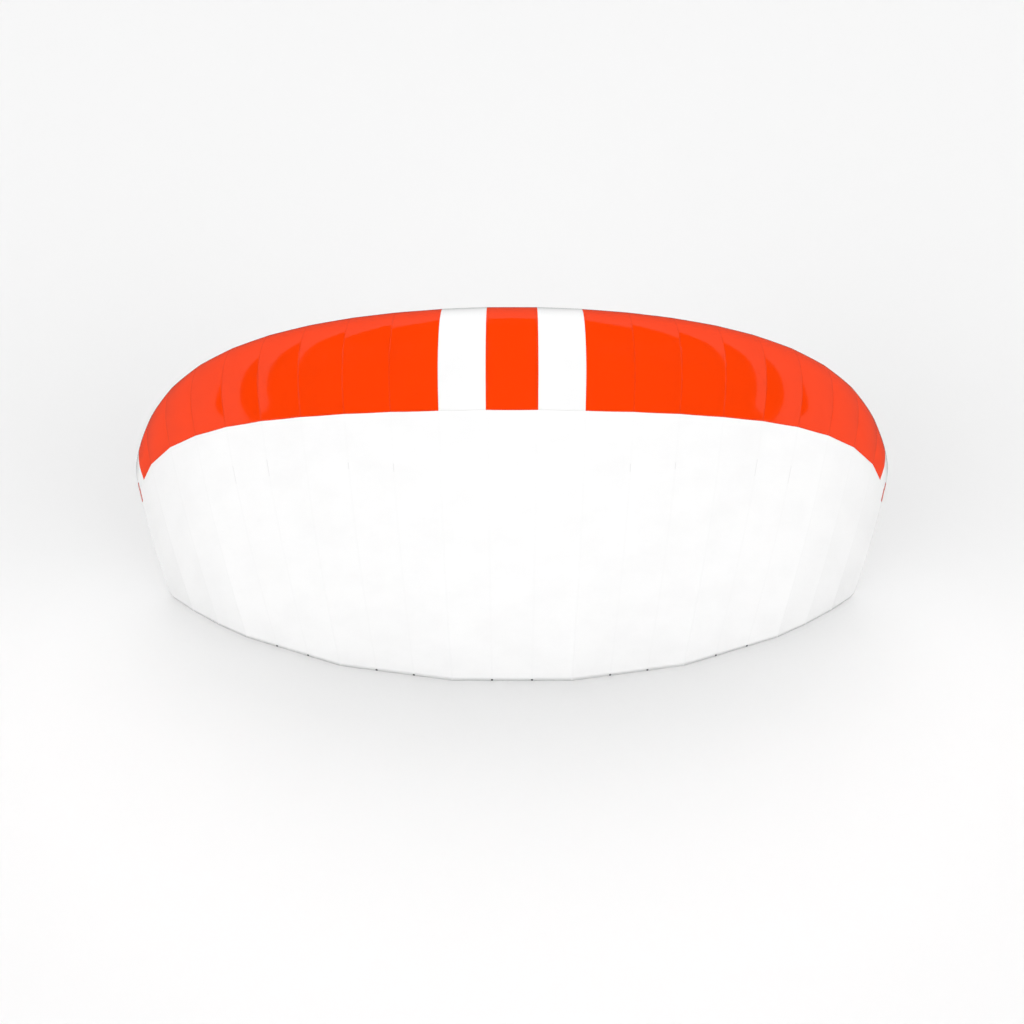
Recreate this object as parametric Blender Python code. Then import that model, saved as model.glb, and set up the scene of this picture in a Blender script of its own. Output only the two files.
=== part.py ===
"""Parawing canopy: a single-skin cloth wing that stands on its rear edge, leading edge up.

X runs along the span, +Z is up, and the outer skin faces -Y. The origin is on the floor, in the
middle of the canopy's span and depth. The skin is sewn from one front panel to each cell and from
rear panels three cells wide, over ribs that run from the nose to the tail.
"""

import math

import bmesh
import bpy
import numpy as np

# Plan of the canopy, in metres.
CELL_WIDTH = 0.144
RIBS_A_SIDE = 11
LOADED_RIBS = (2, 5, 8, 11)
CORNER_RIBS = (2, 5, 8, 9, 10, 11)
LOOPED_RIBS = (1, 3, 4, 6, 7)
HALF_SPAN = (RIBS_A_SIDE - 0.5) * CELL_WIDTH
ROOT_CHORD = 1.562
TAIL_CORNER_RADIUS = 0.03

# How far the leading edge has dropped at the tip: power of the span fraction, drop.
SETBACK = ((2, 0.519), (4, 0.244), (10, 0.088))

# Arch, seen from above: each section is turned outwards by its tilt.
TIP_TILT = math.radians(42.9)
TILT_POWER = 1.143
TAIL_SPREAD = 0.0173
LEAN_BACK = math.radians(5.0)
MIDDLE_DEPTH = 0.237

# Section, as fractions of the chord.
ROOT_THICKNESS = 0.132
TIP_THICKNESS = 0.097
NOSE_HEIGHT = 0.055
CROWN_CHORD = 0.131
ROOT_SEAM_CHORD = 0.189
TIP_SEAM_CHORD = 0.212
AFT_POWER = 1.532
LIP_ANGLE = math.radians(-60.0)

# Cloth and sewing, in metres.
SKIN = 0.0015
RIB = 0.0012
GAP = 0.0003
LOOP_SIZE = (0.007, 0.0012, 0.008)
LOOP_HEIGHT = 0.0052

# A section is walked by its run: 0 at the lip, 1 at the crown, 2 at the seam, 3 at the tail.
CROWN_RUN, SEAM_RUN, TAIL_RUN = 1.0, 2.0, 3.0
FRONT_RUNS = (*np.linspace(0.0, CROWN_RUN, 11), *np.linspace(CROWN_RUN, SEAM_RUN, 4)[1:])
REAR_RUNS = tuple(np.linspace(SEAM_RUN, TAIL_RUN, 9))
RIB_TAIL_RUN = 2.96

# Extra columns of a panel at a tip: their distances in from the tip.
FRONT_TIP_INSETS = (0.0036, 0.0)
REAR_TIP_INSETS = (0.03, 0.015, 0.0045, 0.0)

# How far a cell swells between its ribs: run, swell in metres.
SWELL = ((0.45, -0.003), (0.9, 0.0), (1.3, 0.003), (2.5, 0.003), (3.0, 0.0))

# Lower edge of a rib behind the lip: chord fraction, height as a share of the thickness.
EDGE_START_CHORD = 0.075
LOADED_EDGE = (
    (0.14, -0.30),
    (0.27, 0.15),
    (0.40, -0.25),
    (0.55, 0.10),
    (0.70, -0.18),
    (0.83, 0.00),
    (0.96, -0.03),
)
PLAIN_EDGE = ((0.20, 0.32), (0.45, 0.45), (0.75, 0.15), (0.96, -0.03))
EDGE_STEPS = 4

# Cloth: linear colour, roughness.
ORANGE = ((1.0, 0.055, 0.003), 0.45)
WHITE = ((0.90, 0.90, 0.90), 0.50)
INNER_WHITE = ((0.80, 0.81, 0.82), 0.60)
CHARCOAL = ((0.05, 0.05, 0.055), 0.70)


def make_arch():
    """Plan of the arch as three rows of numbers: distance along the span, across, back."""
    stations = np.linspace(0.0, HALF_SPAN, 401)
    tilts = TIP_TILT * (stations / HALF_SPAN) ** TILT_POWER
    middles = (tilts[1:] + tilts[:-1]) / 2
    across = np.append(0.0, np.cumsum(np.cos(middles)) * stations[1])
    back = np.append(0.0, np.cumsum(np.sin(middles)) * stations[1])
    return stations, across, back


ARCH = make_arch()


def arch_point(station):
    """Plan position, across and back, at a signed distance along the span."""
    stations, across, back = ARCH
    x = np.interp(abs(station), stations, across)
    return np.array((math.copysign(x, station), np.interp(abs(station), stations, back)))


def rib_station(number):
    """Place of a rib along the span. Ribs count from 1 at the middle, and are negative at -X."""
    return math.copysign(abs(number) - 0.5, number) * CELL_WIDTH


def tail_station(station):
    """Place of a section's tail along the span: each half's tails are drawn outwards."""
    reach = min(abs(station) / rib_station(LOADED_RIBS[-2]), 1.0)
    return station + math.copysign(TAIL_SPREAD * math.sin(math.pi * reach), station)


def make_tail_corners():
    """Corners of the rear edge, where the corner ribs end: place along the span, plan position."""
    numbers = [-number for number in reversed(CORNER_RIBS)] + list(CORNER_RIBS)
    tails = [tail_station(rib_station(number)) for number in numbers]
    return tails, np.array([arch_point(tail) for tail in tails])


TAIL_CORNERS = make_tail_corners()


def chord_line(station, chord_fraction):
    """Plan position on a section's chord. The tails lie on straight runs between the corners."""
    share = min(max(chord_fraction, 0.0), 1.0)
    tail = tail_station(station)
    corner_stations, corners = TAIL_CORNERS
    curved = arch_point(station + (tail - station) * share)
    straight = np.array([np.interp(tail, corner_stations, column) for column in corners.T])
    blend = share * share * (3 - 2 * share)
    return curved * (1 - blend) + straight * blend


def section_point(station, chord_fraction, height):
    """Point of a section, at a fraction of its chord and a height given in chords."""
    span = abs(station) / HALF_SPAN
    nose = ROOT_CHORD - sum(drop * span**power for power, drop in SETBACK)
    tail = chord_line(station, 1.0)[1] * math.tan(LEAN_BACK)
    chord = nose - tail
    tilt = math.copysign(TIP_TILT * span**TILT_POWER, station)
    across, back = chord_line(station, chord_fraction)
    across += height * chord * math.sin(tilt)
    back -= height * chord * math.cos(tilt)
    rise = nose - chord_fraction * chord
    depth = back * math.cos(LEAN_BACK) + rise * math.sin(LEAN_BACK)
    return np.array(
        (across, depth - MIDDLE_DEPTH, rise * math.cos(LEAN_BACK) - back * math.sin(LEAN_BACK))
    )


def section_outline(station, run):
    """Chord fraction and height of a section's outer line at a run."""
    span = abs(station) / HALF_SPAN
    thickness = ROOT_THICKNESS + (TIP_THICKNESS - ROOT_THICKNESS) * span**2
    if run <= CROWN_RUN:
        angle = LIP_ANGLE + (math.pi / 2 - LIP_ANGLE) * run
        rise = (thickness - NOSE_HEIGHT) * math.sin(angle)
        return CROWN_CHORD * (1 - math.cos(angle)), NOSE_HEIGHT + rise
    seam = ROOT_SEAM_CHORD + (TIP_SEAM_CHORD - ROOT_SEAM_CHORD) * span**2
    chord_fraction = np.interp(run, (CROWN_RUN, SEAM_RUN, TAIL_RUN), (CROWN_CHORD, seam, 1.0))
    aft = (chord_fraction - CROWN_CHORD) / (1 - CROWN_CHORD)
    return chord_fraction, thickness * (1 - aft**AFT_POWER)


def section_line(station, run):
    return section_point(station, *section_outline(station, run))


def skin_directions(station, run):
    """Unit vectors on the skin: along the span, and outwards."""
    side_step, run_step = 0.002, 0.01
    middle = min(max(station, side_step - HALF_SPAN), HALF_SPAN - side_step)
    run = min(run, TAIL_RUN - run_step)
    across = section_line(middle + side_step, run) - section_line(middle - side_step, run)
    down = section_line(middle, run + run_step) - section_line(middle, run - run_step)
    outwards = np.cross(down, across)
    return across / np.linalg.norm(across), outwards / np.linalg.norm(outwards)


def run_at_height(station, height):
    """Run of the rear cloth at a height above the floor."""
    return TAIL_RUN - height / section_line(station, SEAM_RUN)[2]


def corner_run(station, run):
    """Run drawn in where the tips' rear corners are rounded."""
    reach = TAIL_CORNER_RADIUS - min(max(HALF_SPAN - abs(station), 0.0), TAIL_CORNER_RADIUS)
    lift = TAIL_CORNER_RADIUS - math.sqrt(TAIL_CORNER_RADIUS**2 - reach**2)
    share = run_at_height(station, lift) - SEAM_RUN
    return SEAM_RUN + (run - SEAM_RUN) * share if run > SEAM_RUN else run


def skin_point(station, run, depth):
    """Point of the skin at a depth under its outer face, on straight lines between two ribs."""
    run = corner_run(station, run)
    cell = math.floor(station / CELL_WIDTH + 0.5)
    cell = min(max(cell, 1 - RIBS_A_SIDE), RIBS_A_SIDE - 1)
    left_rib = (cell - 0.5) * CELL_WIDTH
    share = (station - left_rib) / CELL_WIDTH
    left, right = section_line(left_rib, run), section_line(left_rib + CELL_WIDTH, run)
    outwards = skin_directions(station, run)[1]
    swell = np.interp(run, *zip(*SWELL)) * (1 - abs(2 * share - 1))
    point = left * (1 - share) + right * share + outwards * swell
    if run == TAIL_RUN:
        outwards = outwards * (1, 1, 0)
        outwards /= np.linalg.norm(outwards)
    return point - outwards * depth


def front_point(station, run, depth):
    """Point of a front panel, which ends a gap above the seam."""
    point = skin_point(station, run, depth)
    if run == SEAM_RUN:
        along, outwards = skin_directions(station, run)
        point += np.cross(outwards, along) * GAP
    return point


def rib_top(station, run):
    """Point just under the skin, on the straight lines between the skin's own rows of points."""
    rows = sorted({*FRONT_RUNS, *REAR_RUNS})
    upper = next(index for index, row in enumerate(rows) if row >= run)
    share = (rows[upper] - run) / (rows[upper] - rows[upper - 1])
    above = skin_point(station, rows[upper - 1], SKIN + GAP)
    return above * share + skin_point(station, rows[upper], SKIN + GAP) * (1 - share)


def lower_edge(edge):
    """Corners of a rib's lower edge from tail to front, eased between the edge's own points."""
    corners = []
    for (chord, share), (next_chord, next_share) in zip(edge[:0:-1], edge[-2::-1]):
        for part in np.arange(EDGE_STEPS) / EDGE_STEPS:
            ease = (1 - math.cos(math.pi * part)) / 2
            corner = (chord + (next_chord - chord) * part, share + (next_share - share) * ease)
            corners.append(corner)
    return [*corners, edge[0]]


def make_material(name, colour, roughness):
    material = bpy.data.materials.new(name)
    material.use_nodes = True
    shader = material.node_tree.nodes["Principled BSDF"]
    shader.inputs["Base Color"].default_value = (*colour, 1.0)
    shader.inputs["Roughness"].default_value = roughness
    shader.inputs["Metallic"].default_value = 0.0
    return material


def add_piece(name, mesh, cloth, parent):
    """An object with its origin in the middle of its shape."""
    bmesh.ops.recalc_face_normals(mesh, faces=mesh.faces)
    if mesh.calc_volume(signed=True) < 0:
        bmesh.ops.reverse_faces(mesh, faces=mesh.faces)
    corners = np.array([vert.co for vert in mesh.verts])
    middle = (corners.min(axis=0) + corners.max(axis=0)) / 2
    bmesh.ops.translate(mesh, verts=mesh.verts, vec=-middle)
    data = bpy.data.meshes.new(name)
    mesh.to_mesh(data)
    mesh.free()
    data.materials.append(make_material(name, *cloth))
    piece = bpy.data.objects.new(name, data)
    piece.location = middle
    piece.parent = parent
    bpy.context.collection.objects.link(piece)
    return piece


def shaped_slab(columns, rows, place, thickness=SKIN):
    """A slab of columns and rows, each corner moved to place(column, row, depth)."""
    mesh = bmesh.new()
    across, along = len(columns) - 1, len(rows) - 1
    bmesh.ops.create_grid(mesh, x_segments=across, y_segments=along, size=0.5)
    base = bmesh.ops.extrude_face_region(mesh, geom=mesh.faces[:])
    top = [item for item in base["geom"] if isinstance(item, bmesh.types.BMVert)]
    bmesh.ops.translate(mesh, verts=top, vec=(0, 0, 1))
    for vert in mesh.verts:
        column = columns[round((vert.co.x + 0.5) * across)]
        row = rows[round((vert.co.y + 0.5) * along)]
        vert.co = place(column, row, round(vert.co.z) * thickness)
    return mesh


def panel_columns(first_rib_station, cells, tip_insets):
    """Stations of a panel's columns: its side edges, its ribs and the middles of its cells.

    A panel that ends at a tip has more columns by its outer edge, each inset from the tip.
    """
    last = first_rib_station + cells * CELL_WIDTH
    inner = first_rib_station + np.arange(1, 2 * cells) * CELL_WIDTH / 2
    columns = [first_rib_station + GAP / 2, *inner, last - GAP / 2]
    if columns[-1] > HALF_SPAN - GAP:
        columns[-1:] = [HALF_SPAN - inset for inset in tip_insets]
    if columns[0] < GAP - HALF_SPAN:
        columns[:1] = [inset - HALF_SPAN for inset in reversed(tip_insets)]
    return columns


def side_name(number):
    return "middle" if number == 0 else f"{'right' if number > 0 else 'left'}_{abs(number):02d}"


def add_front_panels(parent):
    """One panel to a cell, round the nose. The two beside the middle one are white stripes."""
    for cell in range(1 - RIBS_A_SIDE, RIBS_A_SIDE):
        columns = panel_columns((cell - 0.5) * CELL_WIDTH, 1, FRONT_TIP_INSETS)
        mesh = shaped_slab(columns, FRONT_RUNS, front_point)
        cloth = WHITE if abs(cell) == 1 else ORANGE
        add_piece(f"front_panel_{side_name(cell)}", mesh, cloth, parent)


def add_rear_panels(parent):
    """Three cells to a panel, from one loaded rib to the next."""
    for number in range(-3, 4):
        columns = panel_columns((3 * number - 1.5) * CELL_WIDTH, 3, REAR_TIP_INSETS)
        mesh = shaped_slab(columns, REAR_RUNS, skin_point)
        add_piece(f"rear_panel_{side_name(number)}", mesh, WHITE, parent)


def add_rib(number, parent):
    """An upright sheet under the skin, deeper where a loaded rib takes the lines."""
    station = rib_station(number)
    if abs(number) == RIBS_A_SIDE:
        station -= math.copysign(RIB, number)
    thickness = section_outline(station, CROWN_RUN)[1]
    runs = (*FRONT_RUNS[1:], *REAR_RUNS[1:-1], RIB_TAIL_RUN)
    upper = [section_outline(station, run) for run in runs]
    edge = LOADED_EDGE if abs(number) in LOADED_RIBS else PLAIN_EDGE
    lower = [(chord, share * thickness) for chord, share in lower_edge(edge)]
    lower.append((EDGE_START_CHORD, upper[0][1]))

    mesh = bmesh.new()
    corner = mesh.verts.layers.int.new("corner")
    for index, place in enumerate(upper + lower):
        mesh.verts.new((*place, 0.0))[corner] = index
    mesh.faces.new(mesh.verts)
    bmesh.ops.triangulate(mesh, faces=mesh.faces)
    base = bmesh.ops.extrude_face_region(mesh, geom=mesh.faces[:])
    top = [item for item in base["geom"] if isinstance(item, bmesh.types.BMVert)]
    bmesh.ops.translate(mesh, verts=top, vec=(0, 0, 1))
    for vert in mesh.verts:
        side = station + (round(vert.co.z) - 0.5) * RIB
        index = vert[corner]
        if index < len(runs):
            vert.co = rib_top(side, runs[index])
        else:
            vert.co = section_point(side, *lower[index - len(runs)])
    return add_piece(f"rib_{side_name(number)}", mesh, INNER_WHITE, parent)


def add_tail_loop(number, parent):
    """A folded loop sewn flat on the skin at the tail of a rib."""
    station = rib_station(number)
    run = run_at_height(station, LOOP_HEIGHT)
    across, outwards = skin_directions(station, run)
    middle = skin_point(station, run, -GAP - LOOP_SIZE[1] / 2)
    axes = np.column_stack((across, -outwards, np.cross(outwards, across)))
    mesh = bmesh.new()
    bmesh.ops.create_cube(mesh, size=1.0)
    for vert in mesh.verts:
        vert.co = middle + axes @ (np.array(vert.co) * LOOP_SIZE)
    return add_piece(f"tail_loop_{side_name(number)}", mesh, CHARCOAL, parent)


def main():
    for thing in list(bpy.data.objects):
        bpy.data.objects.remove(thing, do_unlink=True)
    canopy = bpy.data.objects.new("canopy", None)
    bpy.context.collection.objects.link(canopy)
    add_front_panels(canopy)
    add_rear_panels(canopy)
    for side in (-1, 1):
        for number in range(1, RIBS_A_SIDE + 1):
            add_rib(side * number, canopy)
        for number in LOOPED_RIBS:
            add_tail_loop(side * number, canopy)


main()
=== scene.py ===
"""A single-skin parawing canopy that stands on its rear edge, sewn from ripstop cloth."""

import math

import bpy
import numpy as np
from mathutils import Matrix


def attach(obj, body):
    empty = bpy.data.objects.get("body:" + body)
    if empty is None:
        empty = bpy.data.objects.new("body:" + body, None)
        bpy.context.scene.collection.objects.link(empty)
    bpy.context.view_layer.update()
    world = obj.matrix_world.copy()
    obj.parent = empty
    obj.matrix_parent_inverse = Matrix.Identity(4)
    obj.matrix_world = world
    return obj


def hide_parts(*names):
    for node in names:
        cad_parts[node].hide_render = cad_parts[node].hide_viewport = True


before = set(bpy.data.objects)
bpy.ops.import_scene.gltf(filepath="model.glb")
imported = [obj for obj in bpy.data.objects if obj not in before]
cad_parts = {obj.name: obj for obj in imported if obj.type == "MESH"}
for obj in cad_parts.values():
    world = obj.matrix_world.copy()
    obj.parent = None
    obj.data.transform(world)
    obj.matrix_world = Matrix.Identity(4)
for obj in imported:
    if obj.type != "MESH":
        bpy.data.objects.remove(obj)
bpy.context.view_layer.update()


# ---------------------------------------------------------------------------------------------
# Front skin: one panel of coated ripstop to each cell, sewn side to side over the ribs and
# wrapped round the nose from the cross seam to a short lip. The panels beside the middle one
# and a strip along each tip are white, and the others are orange.
# ---------------------------------------------------------------------------------------------

CELL_WIDTH = 0.144
RIBS_A_SIDE = 11
LOADED_RIBS = (2, 5, 8, 11)
CORNER_RIBS = (2, 5, 8, 9, 10, 11)
HALF_SPAN = (RIBS_A_SIDE - 0.5) * CELL_WIDTH
MIDDLE_CHORD = 1.562
# How far the nose is set back at a tip: the power of the share of the half span, and the drop.
NOSE_SETBACK = ((2, 0.519), (4, 0.244), (10, 0.088))
TIP_TILT = math.radians(42.9)
TILT_POWER = 1.143
TAIL_SPREAD = 0.0173
LEAN_BACK = math.radians(5.0)
MIDDLE_DEPTH = 0.237

# A section's thickness, nose, crown and seam are shares of its chord.
MIDDLE_THICKNESS, TIP_THICKNESS = 0.132, 0.097
NOSE_HEIGHT = 0.055
CROWN_CHORD = 0.131
MIDDLE_SEAM_CHORD, TIP_SEAM_CHORD = 0.189, 0.212
AFT_POWER = 1.532
LIP_ANGLE = math.radians(-60.0)

# A section is walked by its run: 0 at the lip, 1 at the crown, 2 at the seam, 3 at the tail.
CROWN, SEAM, TAIL = 1.0, 2.0, 3.0

# The swell between two ribs: it starts and is full on the nose, sinks to a share of itself at
# the seam, and fades to nothing at the tail.
CROWN_SWELL = 0.0071
SWELL_STARTS, SWELL_FULL, SWELL_SINKS, SWELL_FADES = 0.26, 0.78, 0.9, 1.5
SEAM_SWELL_SHARE = 0.28

# Half the middle orange panel, which laps a little over its ribs, and each tip's white strip.
MIDDLE_PANEL = 0.0775
TIP_STRIP = 0.06
TIP_EDGE = 0.0025
COLUMNS_A_CELL = 16
FRONT_CLOTH_THICKNESS = 0.0008


def make_arch():
    """The plan of the arch: distance along the span, across and back."""
    stations = np.linspace(0.0, HALF_SPAN, 401)
    tilts = TIP_TILT * (stations / HALF_SPAN) ** TILT_POWER
    middles = (tilts[1:] + tilts[:-1]) / 2
    across = np.append(0.0, np.cumsum(np.cos(middles)) * stations[1])
    back = np.append(0.0, np.cumsum(np.sin(middles)) * stations[1])
    return stations, across, back


arch_stations, arch_across, arch_back = make_arch()


def on_arch(station):
    """Across and back, at a signed distance along the span."""
    across = np.interp(np.abs(station), arch_stations, arch_across)
    return np.sign(station) * across, np.interp(np.abs(station), arch_stations, arch_back)


def tail_station(station):
    """Where a section's tail lies along the span: each half's tails are drawn outwards."""
    reach = np.minimum(np.abs(station) / ((LOADED_RIBS[-2] - 0.5) * CELL_WIDTH), 1.0)
    return station + np.sign(station) * TAIL_SPREAD * np.sin(np.pi * reach)


# The rear edge turns a corner at the tail of each corner rib, and is straight between them.
corner_stations = np.array([side * (rib - 0.5) for side in (-1, 1) for rib in CORNER_RIBS])
corner_stations = tail_station(np.sort(corner_stations) * CELL_WIDTH)
corner_across, corner_back = on_arch(corner_stations)


def ease(share):
    """0 at 0, 1 at 1, smooth between."""
    share = np.clip(share, 0.0, 1.0)
    return share * share * (3 - 2 * share)


def section_point(station, chord_share, height):
    """Places in a section, at a share of its chord and a height in chords."""
    span = np.abs(station) / HALF_SPAN
    nose = MIDDLE_CHORD - sum(drop * span**power for power, drop in NOSE_SETBACK)
    tail = tail_station(station)
    tail_back = np.interp(tail, corner_stations, corner_back)
    chord = nose - tail_back * math.tan(LEAN_BACK)
    tilt = np.sign(station) * TIP_TILT * span**TILT_POWER
    share = np.clip(chord_share, 0.0, 1.0)
    straight = ease(share)
    across, back = on_arch(station + (tail - station) * share)
    across += (np.interp(tail, corner_stations, corner_across) - across) * straight
    back += (tail_back - back) * straight
    across += height * chord * np.sin(tilt)
    back -= height * chord * np.cos(tilt)
    rise = nose - chord_share * chord
    depth = back * math.cos(LEAN_BACK) + rise * math.sin(LEAN_BACK) - MIDDLE_DEPTH
    return np.stack((across, depth, rise * math.cos(LEAN_BACK) - back * math.sin(LEAN_BACK)), -1)


def section_outline(station, run):
    """Chord share and height of a section's outer line."""
    span = np.abs(station) / HALF_SPAN
    thickness = MIDDLE_THICKNESS + (TIP_THICKNESS - MIDDLE_THICKNESS) * span**2
    angle = LIP_ANGLE + (math.pi / 2 - LIP_ANGLE) * np.minimum(run, CROWN)
    nose_chord = CROWN_CHORD * (1 - np.cos(angle))
    nose_height = NOSE_HEIGHT + (thickness - NOSE_HEIGHT) * np.sin(angle)
    seam = MIDDLE_SEAM_CHORD + (TIP_SEAM_CHORD - MIDDLE_SEAM_CHORD) * span**2
    to_seam = CROWN_CHORD + (seam - CROWN_CHORD) * (run - CROWN)
    aft_chord = np.where(run < SEAM, to_seam, seam + (1 - seam) * (run - SEAM))
    aft = np.clip((aft_chord - CROWN_CHORD) / (1 - CROWN_CHORD), 0.0, None)
    aft_height = thickness * (1 - aft**AFT_POWER)
    on_nose = run <= CROWN
    return np.where(on_nose, nose_chord, aft_chord), np.where(on_nose, nose_height, aft_height)


def section_line(station, run):
    """Places on a section's outer line."""
    return section_point(station, *section_outline(station, run))


def skin_outwards(station, run):
    """Unit vectors out of the skin."""
    side_step, run_step = 0.002, 0.01
    middle = np.clip(station, side_step - HALF_SPAN, HALF_SPAN - side_step)
    before_tail = np.minimum(run, TAIL - run_step)
    across = section_line(middle + side_step, before_tail)
    across -= section_line(middle - side_step, before_tail)
    down = section_line(middle, before_tail + run_step)
    down -= section_line(middle, before_tail - run_step)
    outwards = np.cross(down, across)
    # Level at the tail, so that the rear edge stays on the floor.
    outwards[run >= TAIL - 1e-6, 2] = 0.0
    return outwards / np.linalg.norm(outwards, axis=-1, keepdims=True)


def swell_at(run):
    """How far the skin stands out between its ribs: most at the crown, none at lip and tail."""
    grown = ease((run - SWELL_STARTS) / (SWELL_FULL - SWELL_STARTS))
    sunk = (1 - SEAM_SWELL_SHARE) * ease((run - SWELL_SINKS) / (SEAM - SWELL_SINKS))
    return CROWN_SWELL * grown * (1 - sunk) * ease((TAIL - run) / (TAIL - SWELL_FADES))


def skin_point(station, run, depth=0.0):
    """Places on the skin, which swells between its ribs, at a depth under its outer face."""
    cell = np.clip(np.floor(station / CELL_WIDTH + 0.5), 1 - RIBS_A_SIDE, RIBS_A_SIDE - 1)
    rib = (cell - 0.5) * CELL_WIDTH
    share = ((station - rib) / CELL_WIDTH)[:, None]
    flat = section_line(rib, run) * (1 - share) + section_line(rib + CELL_WIDTH, run) * share
    swell = swell_at(run)[:, None] * 4 * share * (1 - share)
    return flat + skin_outwards(station, run) * (swell - np.expand_dims(depth, -1))


def cloth_grid(name, columns, rows):
    """A grid with a column for each value across and a row for each down, and their indices."""
    bpy.ops.object.select_all(action="DESELECT")
    bpy.ops.mesh.primitive_grid_add(
        x_subdivisions=len(columns) - 1, y_subdivisions=len(rows) - 1, size=1.0
    )
    piece = bpy.context.object
    piece.name = piece.data.name = name
    flat = np.empty(len(piece.data.vertices) * 3, np.float32)
    piece.data.vertices.foreach_get("co", flat)
    flat = flat.reshape(-1, 3)
    column = np.rint((flat[:, 0] + 0.5) * (len(columns) - 1)).astype(int)
    row = np.rint((flat[:, 1] + 0.5) * (len(rows) - 1)).astype(int)
    return piece, column, row


def lay_out(piece, places, cloth_map, edge_map):
    """Moves a grid's corners to their places, and writes its two maps, both in metres."""
    mesh = piece.data
    mesh.vertices.foreach_set("co", places.astype(np.float32).ravel())
    corners = np.empty(len(mesh.loops), np.int32)
    mesh.loops.foreach_get("vertex_index", corners)
    while mesh.uv_layers:
        mesh.uv_layers.remove(mesh.uv_layers[0])
    for name, values in (("cloth", cloth_map), ("edge", edge_map)):
        layer = mesh.uv_layers.new(name=name)
        layer.uv.foreach_set("vector", values[corners].astype(np.float32).ravel())
    mesh.update()


def thicken(piece, thickness, offset=-1.0):
    """Gives a sheet its thickness, under its outer face."""
    solid = piece.modifiers.new("thickness", "SOLIDIFY")
    solid.thickness = thickness
    solid.offset = offset
    solid.use_even_offset = True
    bpy.context.view_layer.objects.active = piece
    bpy.ops.object.modifier_apply(modifier=solid.name)


def skin_columns():
    """Stations across the whole skin, with a column on every rib and every change of colour."""
    stations = [
        (cell - 0.5 + share) * CELL_WIDTH
        for cell in range(1 - RIBS_A_SIDE, RIBS_A_SIDE)
        for share in np.arange(COLUMNS_A_CELL) / COLUMNS_A_CELL
    ]
    extra = (MIDDLE_PANEL, HALF_SPAN - TIP_STRIP, HALF_SPAN - TIP_EDGE, HALF_SPAN)
    stations += [*extra, *(-station for station in extra)]
    return np.unique(np.round(stations, 7))


def lengths_down(places, column, row):
    """Distance of each corner from the first row, along its own column, and that column's whole."""
    table = np.zeros((column.max() + 1, row.max() + 1, 3))
    table[column, row] = places
    steps = np.linalg.norm(np.diff(table, axis=1), axis=2)
    down = np.pad(np.cumsum(steps, axis=1), ((0, 0), (1, 0)))
    return down[column, row], down[column, -1]


def sharpen_ribs(piece, station):
    """Keeps the crease where the skin is sewn down on each rib."""
    from_rib = np.abs((station / CELL_WIDTH) % 1.0 - 0.5)
    ends = np.empty(len(piece.data.edges) * 2, np.int32)
    piece.data.edges.foreach_get("vertices", ends)
    ends = ends.reshape(-1, 2)
    along_rib = np.abs(np.diff(station[ends], axis=1)[:, 0]) < 1e-6
    sharp = (from_rib[ends].max(axis=1) < 0.001) & along_rib
    layer = piece.data.attributes.new("sharp_edge", "BOOLEAN", "EDGE")
    layer.data.foreach_set("value", sharp)


def sew_skin(name, rows, drawn_in, depth, first_down):
    """A skin across the whole span, with its maps: along the cloth, and in from its edges."""
    columns = skin_columns()
    piece, column, row = cloth_grid(name, columns, rows)
    station = columns[column]
    places = skin_point(station, drawn_in(station, rows[row]), depth)
    down, whole = lengths_down(places, column, row)
    cloth_map = np.stack((station, down + first_down), -1)
    edge_map = np.stack((HALF_SPAN - np.abs(station), whole - down), -1)
    lay_out(piece, places, cloth_map, edge_map)
    sharpen_ribs(piece, station)
    bpy.ops.object.shade_smooth(keep_sharp_edges=True)
    return piece


class Wire:
    """A socket in a tree of shader nodes. Sums and products of wires add the nodes they need."""

    def __init__(self, tree, socket=None):
        self.tree = tree
        self.socket = socket

    def node(self, kind, inputs, output=0, **settings):
        """Adds a node with its settings, then its sockets' values or links."""
        made = self.tree.nodes.new(kind)
        for name, value in settings.items():
            setattr(made, name, value)
        for name, value in inputs.items():
            if isinstance(value, Wire):
                self.tree.links.new(value.socket, made.inputs[name])
            else:
                made.inputs[name].default_value = value
        return Wire(self.tree, made.outputs[output])

    def math(self, operation, *values):
        return self.node("ShaderNodeMath", dict(enumerate(values)), operation=operation)

    def __add__(self, other):
        return self.math("ADD", self, other)

    def __radd__(self, other):
        return self.math("ADD", other, self)

    def __sub__(self, other):
        return self.math("SUBTRACT", self, other)

    def __rsub__(self, other):
        return self.math("SUBTRACT", other, self)

    def __mul__(self, other):
        return self.math("MULTIPLY", self, other)

    def __abs__(self):
        return self.math("ABSOLUTE", self)

    def either(self, other):
        return self.math("MAXIMUM", self, other)

    def axis(self, number):
        """One of the three parts of a place or a direction."""
        return self.node("ShaderNodeSeparateXYZ", {0: self}, number)

    def ramp(self, start, end):
        """0 at start, 1 at end, smooth between."""
        values = {"Value": self, "From Min": start, "From Max": end}
        return self.node("ShaderNodeMapRange", values, interpolation_type="SMOOTHSTEP")

    def near(self, middle, reach, blur):
        """1 within reach of a middle, falling to 0 over a blur."""
        return 1 - abs(self - middle).ramp(reach, reach + blur)

    def from_middles(self, spacing):
        """Distance from the middle of the nearest of the spaces that a length is cut into."""
        place = self * (1 / spacing)
        return abs(place.math("FRACT", place) - 0.5) * spacing

    def noise(self, scale, detail=2.0):
        return self.node("ShaderNodeTexNoise", {"Vector": self, "Scale": scale, "Detail": detail})

    def mix(self, first, second):
        """A colour from first, where this is 0, to second, where it is 1."""
        return self.node("ShaderNodeMix", {0: self, 6: first, 7: second}, 2, data_type="RGBA")

    def feed(self, shader, name):
        """Links this to one of a shader's sockets."""
        self.tree.links.new(self.socket, shader.inputs[name])


ORANGE = (0.94, 0.050, 0.0020, 1.0)
WHITE = (0.93, 0.93, 0.93, 1.0)
RIPSTOP_SQUARE = 0.005
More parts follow.
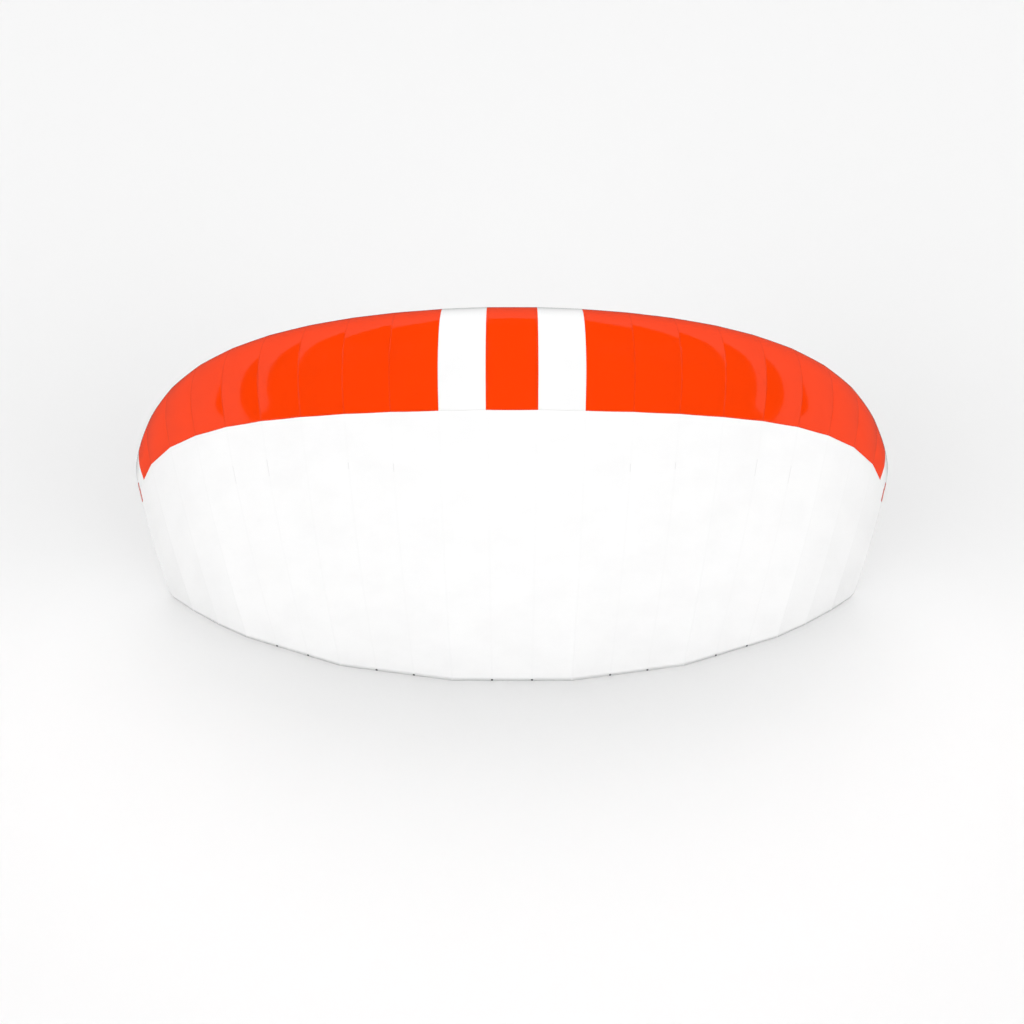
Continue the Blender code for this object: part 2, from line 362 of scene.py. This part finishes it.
# Half the width of a thread, and the soft edge that it fades over.
THREAD = (0.0002, 0.0003)
# From one stitch to the next, then half a stitch and its soft edge.
STITCH_PITCH = 0.003
STITCH = (0.001, 0.0003)
# Distances of the rows of stitches from a rib, the strip, the tip's edge and a hem's edge.
RIB_STITCH = 0.0025
STRIP_STITCH = 0.003
TIP_STITCH = 0.006
FRONT_HEM_STITCHES = (0.003, 0.008)
# Half the width of the groove and painted shade along each rib, and the soft edge that it fades
# over.
FRONT_CREASE = (0.0005, 0.0014)
# The orange tape round each tip's edge: its width, and the soft edge that it fades over.
TIP_TAPE = (0.011, 0.0005)
TIP_TAPE_COLOUR = (0.564, 0.030, 0.0012, 1.0)
FRONT_TAPE_LENGTH = 0.030


def shade(colour, share):
    return (*(share * part for part in colour[:3]), 1.0)


def ripstop(name, colour, roughness, sewing, slack=0.0):
    """Coated ripstop: a fine weave, a grid of thicker threads, handling marks and its sewing.

    The sewing is in layers, each with a mask, a colour and how far it stands up or is drawn in; the
    crease layers' colours are painted shade.
    The slack is how far the cloth stands up and down in soft waves.
    """
    material = bpy.data.materials.new(name)
    material.use_nodes = True
    tree = material.node_tree
    shader = tree.nodes["Principled BSDF"]
    cloth = Wire(tree).node("ShaderNodeUVMap", {}, uv_map="cloth")
    edge = Wire(tree).node("ShaderNodeUVMap", {}, uv_map="edge")
    along, down = cloth.axis(0), cloth.axis(1)
    grid = along.from_middles(RIPSTOP_SQUARE).near(0.0, *THREAD)
    grid = grid.either(down.from_middles(RIPSTOP_SQUARE).near(0.0, *THREAD))
    weave = cloth.noise(1400.0)
    clouds = cloth.noise(7.0, 4.0)
    handled = cloth.noise(45.0, 4.0).ramp(0.55, 0.8)
    base = (clouds.ramp(0.35, 0.7) * 0.6 + grid * 0.4).mix(colour, shade(colour, 0.965))
    base = (handled * 0.3).mix(base, shade(colour, 0.95))
    shine = roughness + grid * 0.02 + clouds * 0.02 + handled * 0.03
    height = grid * 0.00002 + weave * 0.000006 + clouds * slack
    for mask, layer_colour, lift in sewing(along, down, edge.axis(0), edge.axis(1)):
        base = mask.mix(base, layer_colour)
        shine = shine + mask * 0.15
        height = height + mask * lift
    base.feed(shader, "Base Color")
    shine.feed(shader, "Roughness")
    bump = height.node("ShaderNodeBump", {"Height": height, "Strength": 0.7, "Distance": 1.0})
    bump.feed(shader, "Normal")
    return material


def stitch_row(distance_from_row, length):
    """A row of straight stitches, as long dashes with small gaps."""
    row = distance_from_row.near(0.0, *THREAD)
    return row * length.from_middles(STITCH_PITCH).near(0.0, *STITCH)


def front_sewing(colour, thread):
    """Rib seams with painted shade in their creases, the tip strip's seam and tape, the hem at the
    lip and the cross seam.
    """

    def layers(along, down, from_tip, from_seam):
        from_rib = along.from_middles(CELL_WIDTH)
        stitches = stitch_row(from_rib - RIB_STITCH, down)
        stitches = stitches.either(stitch_row(from_tip - (TIP_STRIP + STRIP_STITCH), down))
        stitches = stitches.either(stitch_row(from_tip - TIP_STITCH, down))
        for distance in FRONT_HEM_STITCHES:
            stitches = stitches.either(stitch_row(from_seam - distance, along))
            stitches = stitches.either(stitch_row(down - distance, along))
        # Painted shade: the cloth is drawn into a shallow groove along each rib and also painted
        # darker there.
        crease = from_rib.near(0.0, *FRONT_CREASE)
        tape = from_tip.near(0.0, *TIP_TAPE) * from_seam.near(0.0, FRONT_TAPE_LENGTH, 0.001)
        return (
            (crease, shade(colour, 0.91), -0.0003),
            (tape, TIP_TAPE_COLOUR, 0.0001),
            (stitches, thread, 0.0001),
        )

    return layers


orange_cloth = ripstop(
    "orange_cloth", ORANGE, 0.02, front_sewing(ORANGE, shade(ORANGE, 0.86))
)
white_cloth = ripstop("white_cloth", WHITE, 0.03, front_sewing(WHITE, shade(WHITE, 0.94)))

front_rows = np.concatenate((np.linspace(0.0, CROWN, 61), np.linspace(CROWN, SEAM, 15)[1:]))
front_skin = sew_skin(
    "front_skin", front_rows, lambda station, run: run, depth=0.0, first_down=0.0
)
front_skin.data.materials.append(orange_cloth)
front_skin.data.materials.append(white_cloth)
corner_map = np.empty(len(front_skin.data.loops) * 2, np.float32)
front_skin.data.uv_layers["cloth"].uv.foreach_get("vector", corner_map)
face_station = np.abs(corner_map.reshape(-1, 4, 2)[:, :, 0].mean(axis=1))
in_stripe = (face_station > MIDDLE_PANEL) & (face_station < 1.5 * CELL_WIDTH)
is_white = in_stripe | (face_station > HALF_SPAN - TIP_STRIP)
front_skin.data.polygons.foreach_set("material_index", is_white.astype(np.int32))
thicken(front_skin, FRONT_CLOTH_THICKNESS)
front_nodes = [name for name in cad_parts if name.startswith("front_panel")]
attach(front_skin, "root")
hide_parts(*front_nodes)


# ---------------------------------------------------------------------------------------------
# Rear skin: white ripstop from the cross seam, where it laps under the front skin, down to the
# folded hem of the rear edge. It is sewn to every rib, with painted shade in the creases along
# its seams and in short creases below the seam on some ribs.
# ---------------------------------------------------------------------------------------------

REAR_CLOTH_THICKNESS = 0.0007
REAR_DEPTH = 0.001
SEAM_LAP = 0.09
TAIL_CORNER = 0.03
REAR_HEM = 0.0115
REAR_HEM_STITCHES = (0.003, 0.010)
# Half the width of the groove and painted shade along each rib, and the soft edge that it fades
# over.
REAR_CREASE = (0.0003, 0.0010)
REAR_TAPE_LENGTH = 0.053
# Short creases on a rib, painted as grey shade: the rib, their first and last distance below the
# seam.
CREASE_SHADE_MARKS = ((3, 0.205, 0.236), (4, 0.194, 0.219), (6, 0.157, 0.224), (7, 0.162, 0.236))


def run_within_corner(station, run):
    """Run drawn in where the tips' rear corners are rounded."""
    reach = TAIL_CORNER - np.clip(HALF_SPAN - np.abs(station), 0.0, TAIL_CORNER)
    lift = TAIL_CORNER - np.sqrt(TAIL_CORNER**2 - reach**2)
    seam_height = section_line(station, np.full_like(station, SEAM))[:, 2]
    return np.where(run > SEAM, SEAM + (run - SEAM) * (1 - lift / seam_height), run)


def rear_sewing(along, down, from_tip, from_tail):
    """Rib seams and short rib creases, both with painted shade, the tape at the tips, and the hem
    of the rear edge.
    """
    from_rib = along.from_middles(CELL_WIDTH)
    stitches = stitch_row(from_rib - RIB_STITCH, down)
    stitches = stitches.either(stitch_row(from_tip - TIP_STITCH, down))
    for distance in REAR_HEM_STITCHES:
        stitches = stitches.either(stitch_row(from_tail - distance, along))
    # Painted shade: the cloth is drawn into a slight groove along each rib and also painted a
    # little darker there.
    crease = from_rib.near(0.0, *REAR_CREASE)
    # Short grey marks along some ribs: painted shade of creases that the cloth itself does not
    # have.
    crease_shade_marks = None
    for rib, first, last in CREASE_SHADE_MARKS:
        row = abs(along).near((rib - 0.5) * CELL_WIDTH, 0.0004, 0.0008)
        row = row * down.near((first + last) / 2, (last - first) / 2, 0.003)
        crease_shade_marks = row if crease_shade_marks is None else crease_shade_marks.either(row)
    tape = from_tip.near(0.0, *TIP_TAPE) * down.near(0.0, REAR_TAPE_LENGTH, 0.001)
    hem = from_tail.near(0.0, REAR_HEM, 0.0006)
    return (
        (hem, shade(WHITE, 0.97), 0.0002),
        (crease, shade(WHITE, 0.97), -0.00005),
        (crease_shade_marks, shade(WHITE, 0.76), 0.0001),
        (tape, TIP_TAPE_COLOUR, 0.0001),
        (stitches, shade(WHITE, 0.94), 0.0001),
    )


rear_rows = np.concatenate(([SEAM - SEAM_LAP], np.linspace(SEAM, TAIL, 61)))
rear_skin = sew_skin(
    "rear_skin", rear_rows, run_within_corner, depth=REAR_DEPTH, first_down=-0.008
)
rear_skin.data.materials.append(ripstop("sail_cloth", WHITE, 0.08, rear_sewing, 0.00007))
thicken(rear_skin, REAR_CLOTH_THICKNESS)
rear_nodes = [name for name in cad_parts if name.startswith("rear_panel")]
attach(rear_skin, "root")
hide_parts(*rear_nodes)


# ---------------------------------------------------------------------------------------------
# Ribs: one upright sheet of lighter ripstop at every seam between two cells, with its top edge
# sewn to the skin from the nose to near the tail. Its free edge is hemmed. The loaded ribs hang
# down in scallops to the points that take the lines, and the plain ones are cut shallower.
# ---------------------------------------------------------------------------------------------

RIB_CLOTH_THICKNESS = 0.0008
RIB_COLOUR = (0.80, 0.81, 0.82, 1.0)
RIB_FIRST_RUN, RIB_LAST_RUN = 0.1, 2.96
# The last rib stands this far in from the tip's edge, and every rib this far under the skin.
TIP_RIB_INSET = 0.0012
UNDER_SKIN = 0.0001
RIB_WAVE = 0.0012
RIB_HEM = 0.0105
RIB_HEM_STITCHES = (0.003, 0.009)
RIB_TOP_STITCH = 0.005
# The free edge: share of the chord, and height as a share of the section's thickness.
EDGE_FIRST_CHORD, EDGE_START_CHORD, EDGE_LAST_CHORD = 0.045, 0.075, 0.96
LOADED_EDGE = (
    (0.14, -0.30),
    (0.27, 0.15),
    (0.40, -0.25),
    (0.55, 0.10),
    (0.70, -0.18),
    (0.83, 0.00),
    (0.96, -0.03),
)
PLAIN_EDGE = ((0.20, 0.32), (0.45, 0.45), (0.75, 0.15), (0.96, -0.03))
RIB_ROWS = np.linspace(0.0, 1.0, 9)


def edge_height(chord, edge, thickness, lip_height):
    """Height of a rib's free edge, eased from each of its points to the next."""
    chords = np.array([EDGE_START_CHORD] + [point[0] for point in edge])
    heights = np.array([lip_height] + [point[1] * thickness for point in edge])
    place = np.clip(np.searchsorted(chords, chord) - 1, 0, len(chords) - 2)
    share = np.clip((chord - chords[place]) / (chords[place + 1] - chords[place]), 0.0, 1.0)
    eased = np.where(place == 0, share, (1 - np.cos(np.pi * share)) / 2)
    return heights[place] + (heights[place + 1] - heights[place]) * eased


def rib_sewing(along, down, from_skin, from_edge):
    """A hem with two rows of stitches along the free edge, and a row under the skin."""
    stitches = stitch_row(from_skin - RIB_TOP_STITCH, along)
    for distance in RIB_HEM_STITCHES:
        stitches = stitches.either(stitch_row(from_edge - distance, along))
    hem = from_edge.near(0.0, RIB_HEM, 0.0006)
    return ((hem, shade(RIB_COLOUR, 0.95), 0.0002), (stitches, shade(RIB_COLOUR, 0.85), 0.0001))


def cut_rib(name, side, number):
    """One rib, with its maps: along and up the section, and in from its two edges."""
    station = (number - 0.5) * CELL_WIDTH
    if number == RIBS_A_SIDE:
        station -= TIP_RIB_INSET
    runs = np.concatenate(
        (
            np.linspace(RIB_FIRST_RUN, CROWN, 25),
            np.linspace(CROWN, SEAM, 8)[1:],
            np.linspace(SEAM, RIB_LAST_RUN, 61)[1:],
        )
    )
    piece, column, row = cloth_grid(name, runs, RIB_ROWS)
    top_chord, top_height = section_outline(station, runs)
    thickness = section_outline(station, np.array([CROWN]))[1][0]
    nose_share = (runs - RIB_FIRST_RUN) / (CROWN - RIB_FIRST_RUN)
    nose_chord = EDGE_FIRST_CHORD + (CROWN_CHORD - EDGE_FIRST_CHORD) * nose_share
    aft_share = (top_chord - CROWN_CHORD) / (top_chord[-1] - CROWN_CHORD)
    aft_chord = CROWN_CHORD + (EDGE_LAST_CHORD - CROWN_CHORD) * aft_share
    low_chord = np.where(runs < CROWN, nose_chord, aft_chord)
    edge = LOADED_EDGE if number in LOADED_RIBS else PLAIN_EDGE
    low_height = edge_height(low_chord, edge, thickness, top_height[0])

    stations = np.full_like(runs, side * station)
    # The top edge steps down to clear the rear skin a little before that skin's lap starts.
    above_lap = runs < SEAM - SEAM_LAP - 0.05
    skin_depth = np.where(above_lap, FRONT_CLOTH_THICKNESS, REAR_DEPTH + REAR_CLOTH_THICKNESS)
    top = skin_point(stations, runs, skin_depth + UNDER_SKIN)
    low = section_point(stations, low_chord, low_height)
    share = RIB_ROWS[row][:, None]
    places = top[column] * (1 - share) + low[column] * share
    sideways = section_point(stations + 0.001, low_chord, low_height) - low
    sideways /= np.linalg.norm(sideways, axis=1, keepdims=True)
    wave = np.sin(26 * top_chord + 1.7 * number) + 0.5 * np.sin(61 * top_chord + number)
    places += sideways[column] * (RIB_WAVE * wave[column, None] * np.sin(np.pi * share))

    chord = np.linalg.norm(np.subtract(*section_point(stations[:2], np.array([0.0, 1.0]), 0.0)))
    flat = np.stack((top_chord, top_height), -1)[column] * (1 - share)
    flat += np.stack((low_chord, low_height), -1)[column] * share
    from_skin, whole = lengths_down(places, column, row)
    lay_out(piece, places, flat * chord, np.stack((from_skin, whole - from_skin), -1))
    bpy.ops.object.shade_smooth()
    thicken(piece, RIB_CLOTH_THICKNESS, 0.0)
    depth = (top_height.max() - low_height.min()) * chord
    outline = np.append(flat[row == 0], flat[row == row.max()][::-1], axis=0)
    ahead = np.roll(outline, -1, axis=0)
    area = abs(np.sum(outline[:, 0] * ahead[:, 1] - outline[:, 1] * ahead[:, 0])) / 2 * chord**2
    return piece, (chord * float(top_chord[-1]), float(depth)), float(area)


rib_cloth = ripstop("rib_cloth", RIB_COLOUR, 0.35, rib_sewing, 0.0003)
for side, side_name in ((-1, "left"), (1, "right")):
    for number in range(1, RIBS_A_SIDE + 1):
        node = f"rib_{side_name}_{number:02d}"
        rib, flat_size, flat_area = cut_rib(f"{node}_cloth", side, number)
        rib.data.materials.append(rib_cloth)
        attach(rib, "root")
        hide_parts(node)


# ---------------------------------------------------------------------------------------------
# Tail loops: a short length of dark woven tape at the tail of some ribs, folded double and
# tacked flat on the outer face of the rear skin, with its eye towards the rear edge.
# ---------------------------------------------------------------------------------------------

LOOPED_RIBS = (1, 3, 4, 6, 7)
TAPE_THICKNESS = 0.00045
TAPE_WIDTH = 0.007
LOOP_HEIGHT = 0.0052
TAPE_COLOUR = (0.045, 0.045, 0.05, 1.0)
# The fold from its inner end to its outer one, out from the skin and up, in metres.
LOOP_OUT = (0.0003, 0.0003, 0.0003, 0.0004, 0.0009, 0.0015, 0.0018, 0.0016, 0.0011, 0.0009, 0.0009)
LOOP_UP = (0.004, 0.001, -0.0018, -0.0032, -0.0038, -0.0036, -0.0028, -0.0012, 0.0004, 0.002, 0.004)


def fold_loop(name, side, number):
    """One folded loop, with its maps: along the tape, and across it."""
    station = side * (number - 0.5) * CELL_WIDTH
    stations = np.array([station])
    seam_height = section_line(stations, np.array([SEAM]))[0, 2]
    runs = np.array([TAIL - LOOP_HEIGHT / seam_height])
    outwards = skin_outwards(stations, runs)[0]
    across = (section_line(stations + 0.001, runs) - section_line(stations - 0.001, runs))[0]
    across /= np.linalg.norm(across)
    columns = np.linspace(-TAPE_WIDTH / 2, TAPE_WIDTH / 2, 9)
    rows = np.linspace(0.0, len(LOOP_OUT) - 1, 41)
    piece, column, row = cloth_grid(name, columns, rows)
    out = np.interp(rows, np.arange(len(LOOP_OUT)), LOOP_OUT)[row]
    up = np.interp(rows, np.arange(len(LOOP_UP)), LOOP_UP)[row]
    places = skin_point(stations, runs, np.array([REAR_DEPTH]))
    places = places + np.outer(columns[column], across) + np.outer(out, outwards)
    places = places + np.outer(up, np.cross(outwards, across))
    down, whole = lengths_down(places, column, row)
    tape_map = np.stack((columns[column], down), -1)
    lay_out(piece, places, tape_map, np.stack((columns[column], whole - down), -1))
    bpy.ops.object.shade_smooth()
    thicken(piece, TAPE_THICKNESS, 0.0)
    return piece


loop_tape = bpy.data.materials.new("loop_tape")
loop_tape.use_nodes = True
tape_shader = loop_tape.node_tree.nodes["Principled BSDF"]
tape_map = Wire(loop_tape.node_tree).node("ShaderNodeUVMap", {}, uv_map="cloth")
tape_across, tape_down = tape_map.axis(0), tape_map.axis(1)
slanted = tape_down + abs(tape_across) * 0.8
ridges = slanted.from_middles(0.0006).near(0.0, 0.0001, 0.0002)
tacking = tape_across.from_middles(0.0012).near(0.0, 0.0002, 0.0002)
tacking = tacking * tape_down.near(0.0022, 0.0012, 0.0002)
# The weave's ridges are painted lighter and the gaps between them darker: painted highlight and
# painted shade.
tape_base = ridges.mix(shade(TAPE_COLOUR, 0.7), shade(TAPE_COLOUR, 1.3))
tape_base = tacking.mix(tape_base, shade(TAPE_COLOUR, 2.6))
tape_base.feed(tape_shader, "Base Color")
tape_shine = 0.75 - ridges * 0.15
tape_shine.feed(tape_shader, "Roughness")
tape_height = ridges * 0.00006 + tacking * 0.0001
tape_bump = tape_height.node("ShaderNodeBump", {"Height": tape_height, "Distance": 1.0})
tape_bump.feed(tape_shader, "Normal")
for side, side_name in ((-1, "left"), (1, "right")):
    for number in LOOPED_RIBS:
        node = f"tail_loop_{side_name}_{number:02d}"
        loop = fold_loop(f"{node}_tape", side, number)
        loop.data.materials.append(loop_tape)
        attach(loop, "root")
        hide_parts(node)


# ---------------------------------------------------------------------------------------------
# Studio: a plain pale floor under a pale dome, both hidden from the cloth's reflections, five
# wide soft lights, and a camera in front that looks down on the nose. The cloth mirrors the
# glow of the world, which has none in front, a little behind, and most at the sides and above.
# ---------------------------------------------------------------------------------------------

bpy.ops.object.select_all(action="DESELECT")
bpy.ops.mesh.primitive_plane_add(size=60.0)
floor = bpy.context.object
floor.name = "floor"
floor_material = bpy.data.materials.new("floor")
floor_material.use_nodes = True
floor_shader = floor_material.node_tree.nodes["Principled BSDF"]
floor_shader.inputs["Base Color"].default_value = (0.94, 0.94, 0.94, 1.0)
floor_shader.inputs["Roughness"].default_value = 0.9
floor.data.materials.append(floor_material)
floor.visible_glossy = False

bpy.ops.object.select_all(action="DESELECT")
bpy.ops.mesh.primitive_uv_sphere_add(radius=29.0)
backdrop = bpy.context.object
backdrop.name = "backdrop"
backdrop_material = bpy.data.materials.new("backdrop")
backdrop_material.use_nodes = True
backdrop_shader = backdrop_material.node_tree.nodes["Principled BSDF"]
backdrop_shader.inputs["Base Color"].default_value = (0.0, 0.0, 0.0, 1.0)
backdrop_shader.inputs["Emission Color"].default_value = (0.9, 0.9, 0.9, 1.0)
backdrop_shader.inputs["Emission Strength"].default_value = 1.0
backdrop.data.materials.append(backdrop_material)
backdrop.visible_glossy = False
backdrop.visible_diffuse = False
backdrop.visible_shadow = False

world = bpy.data.worlds.new("studio")
bpy.context.scene.world = world
world.use_nodes = True
direction = Wire(world.node_tree).node("ShaderNodeTexCoord", {}, "Generated")
sideways, backwards, upwards = abs(direction.axis(0)), direction.axis(1), direction.axis(2)
# Dark in front of a slanted plane on each side, and an even change of glow behind them.
dark = (upwards * 0.177 - backwards * 0.917 - sideways * 0.356).ramp(-0.013, -0.005)
bright = (0.45 - sideways * 0.04 - backwards * 0.3 + upwards * 0.21).either(0.05)
glow = (bright * (1 - dark)).mix((0, 0, 0, 1), (1, 1, 1, 1))
background = world.node_tree.nodes["Background"]
glow.feed(background, "Color")
background.inputs["Strength"].default_value = 1.0

# Each light: its name, tilt, turn, strength and width.
lights = (
    ("front_left_light", 68, -30, 0.66, 32),
    ("front_right_light", 68, 30, 0.66, 32),
    ("left_light", 75, -60, 1.13, 40),
    ("right_light", 75, 60, 1.13, 40),
    ("top_light", -15, 0, 1.44, 60),
)
for light_name, tilt, turn, energy, width in lights:
    bpy.ops.object.select_all(action="DESELECT")
    bpy.ops.object.light_add(type="SUN", rotation=(math.radians(tilt), 0.0, math.radians(turn)))
    light = bpy.context.object
    light.name = light_name
    light.data.energy = energy
    light.data.angle = math.radians(width)
    light.visible_glossy = False

bpy.ops.object.select_all(action="DESELECT")
bpy.ops.object.camera_add(location=(0.0, -4.143, 3.738), rotation=(math.radians(53.09), 0.0, 0.0))
camera = bpy.context.object
camera.data.lens = 50.0
camera.data.sensor_width = 36.0
bpy.context.scene.camera = camera
bpy.context.scene.view_settings.view_transform = "Standard"
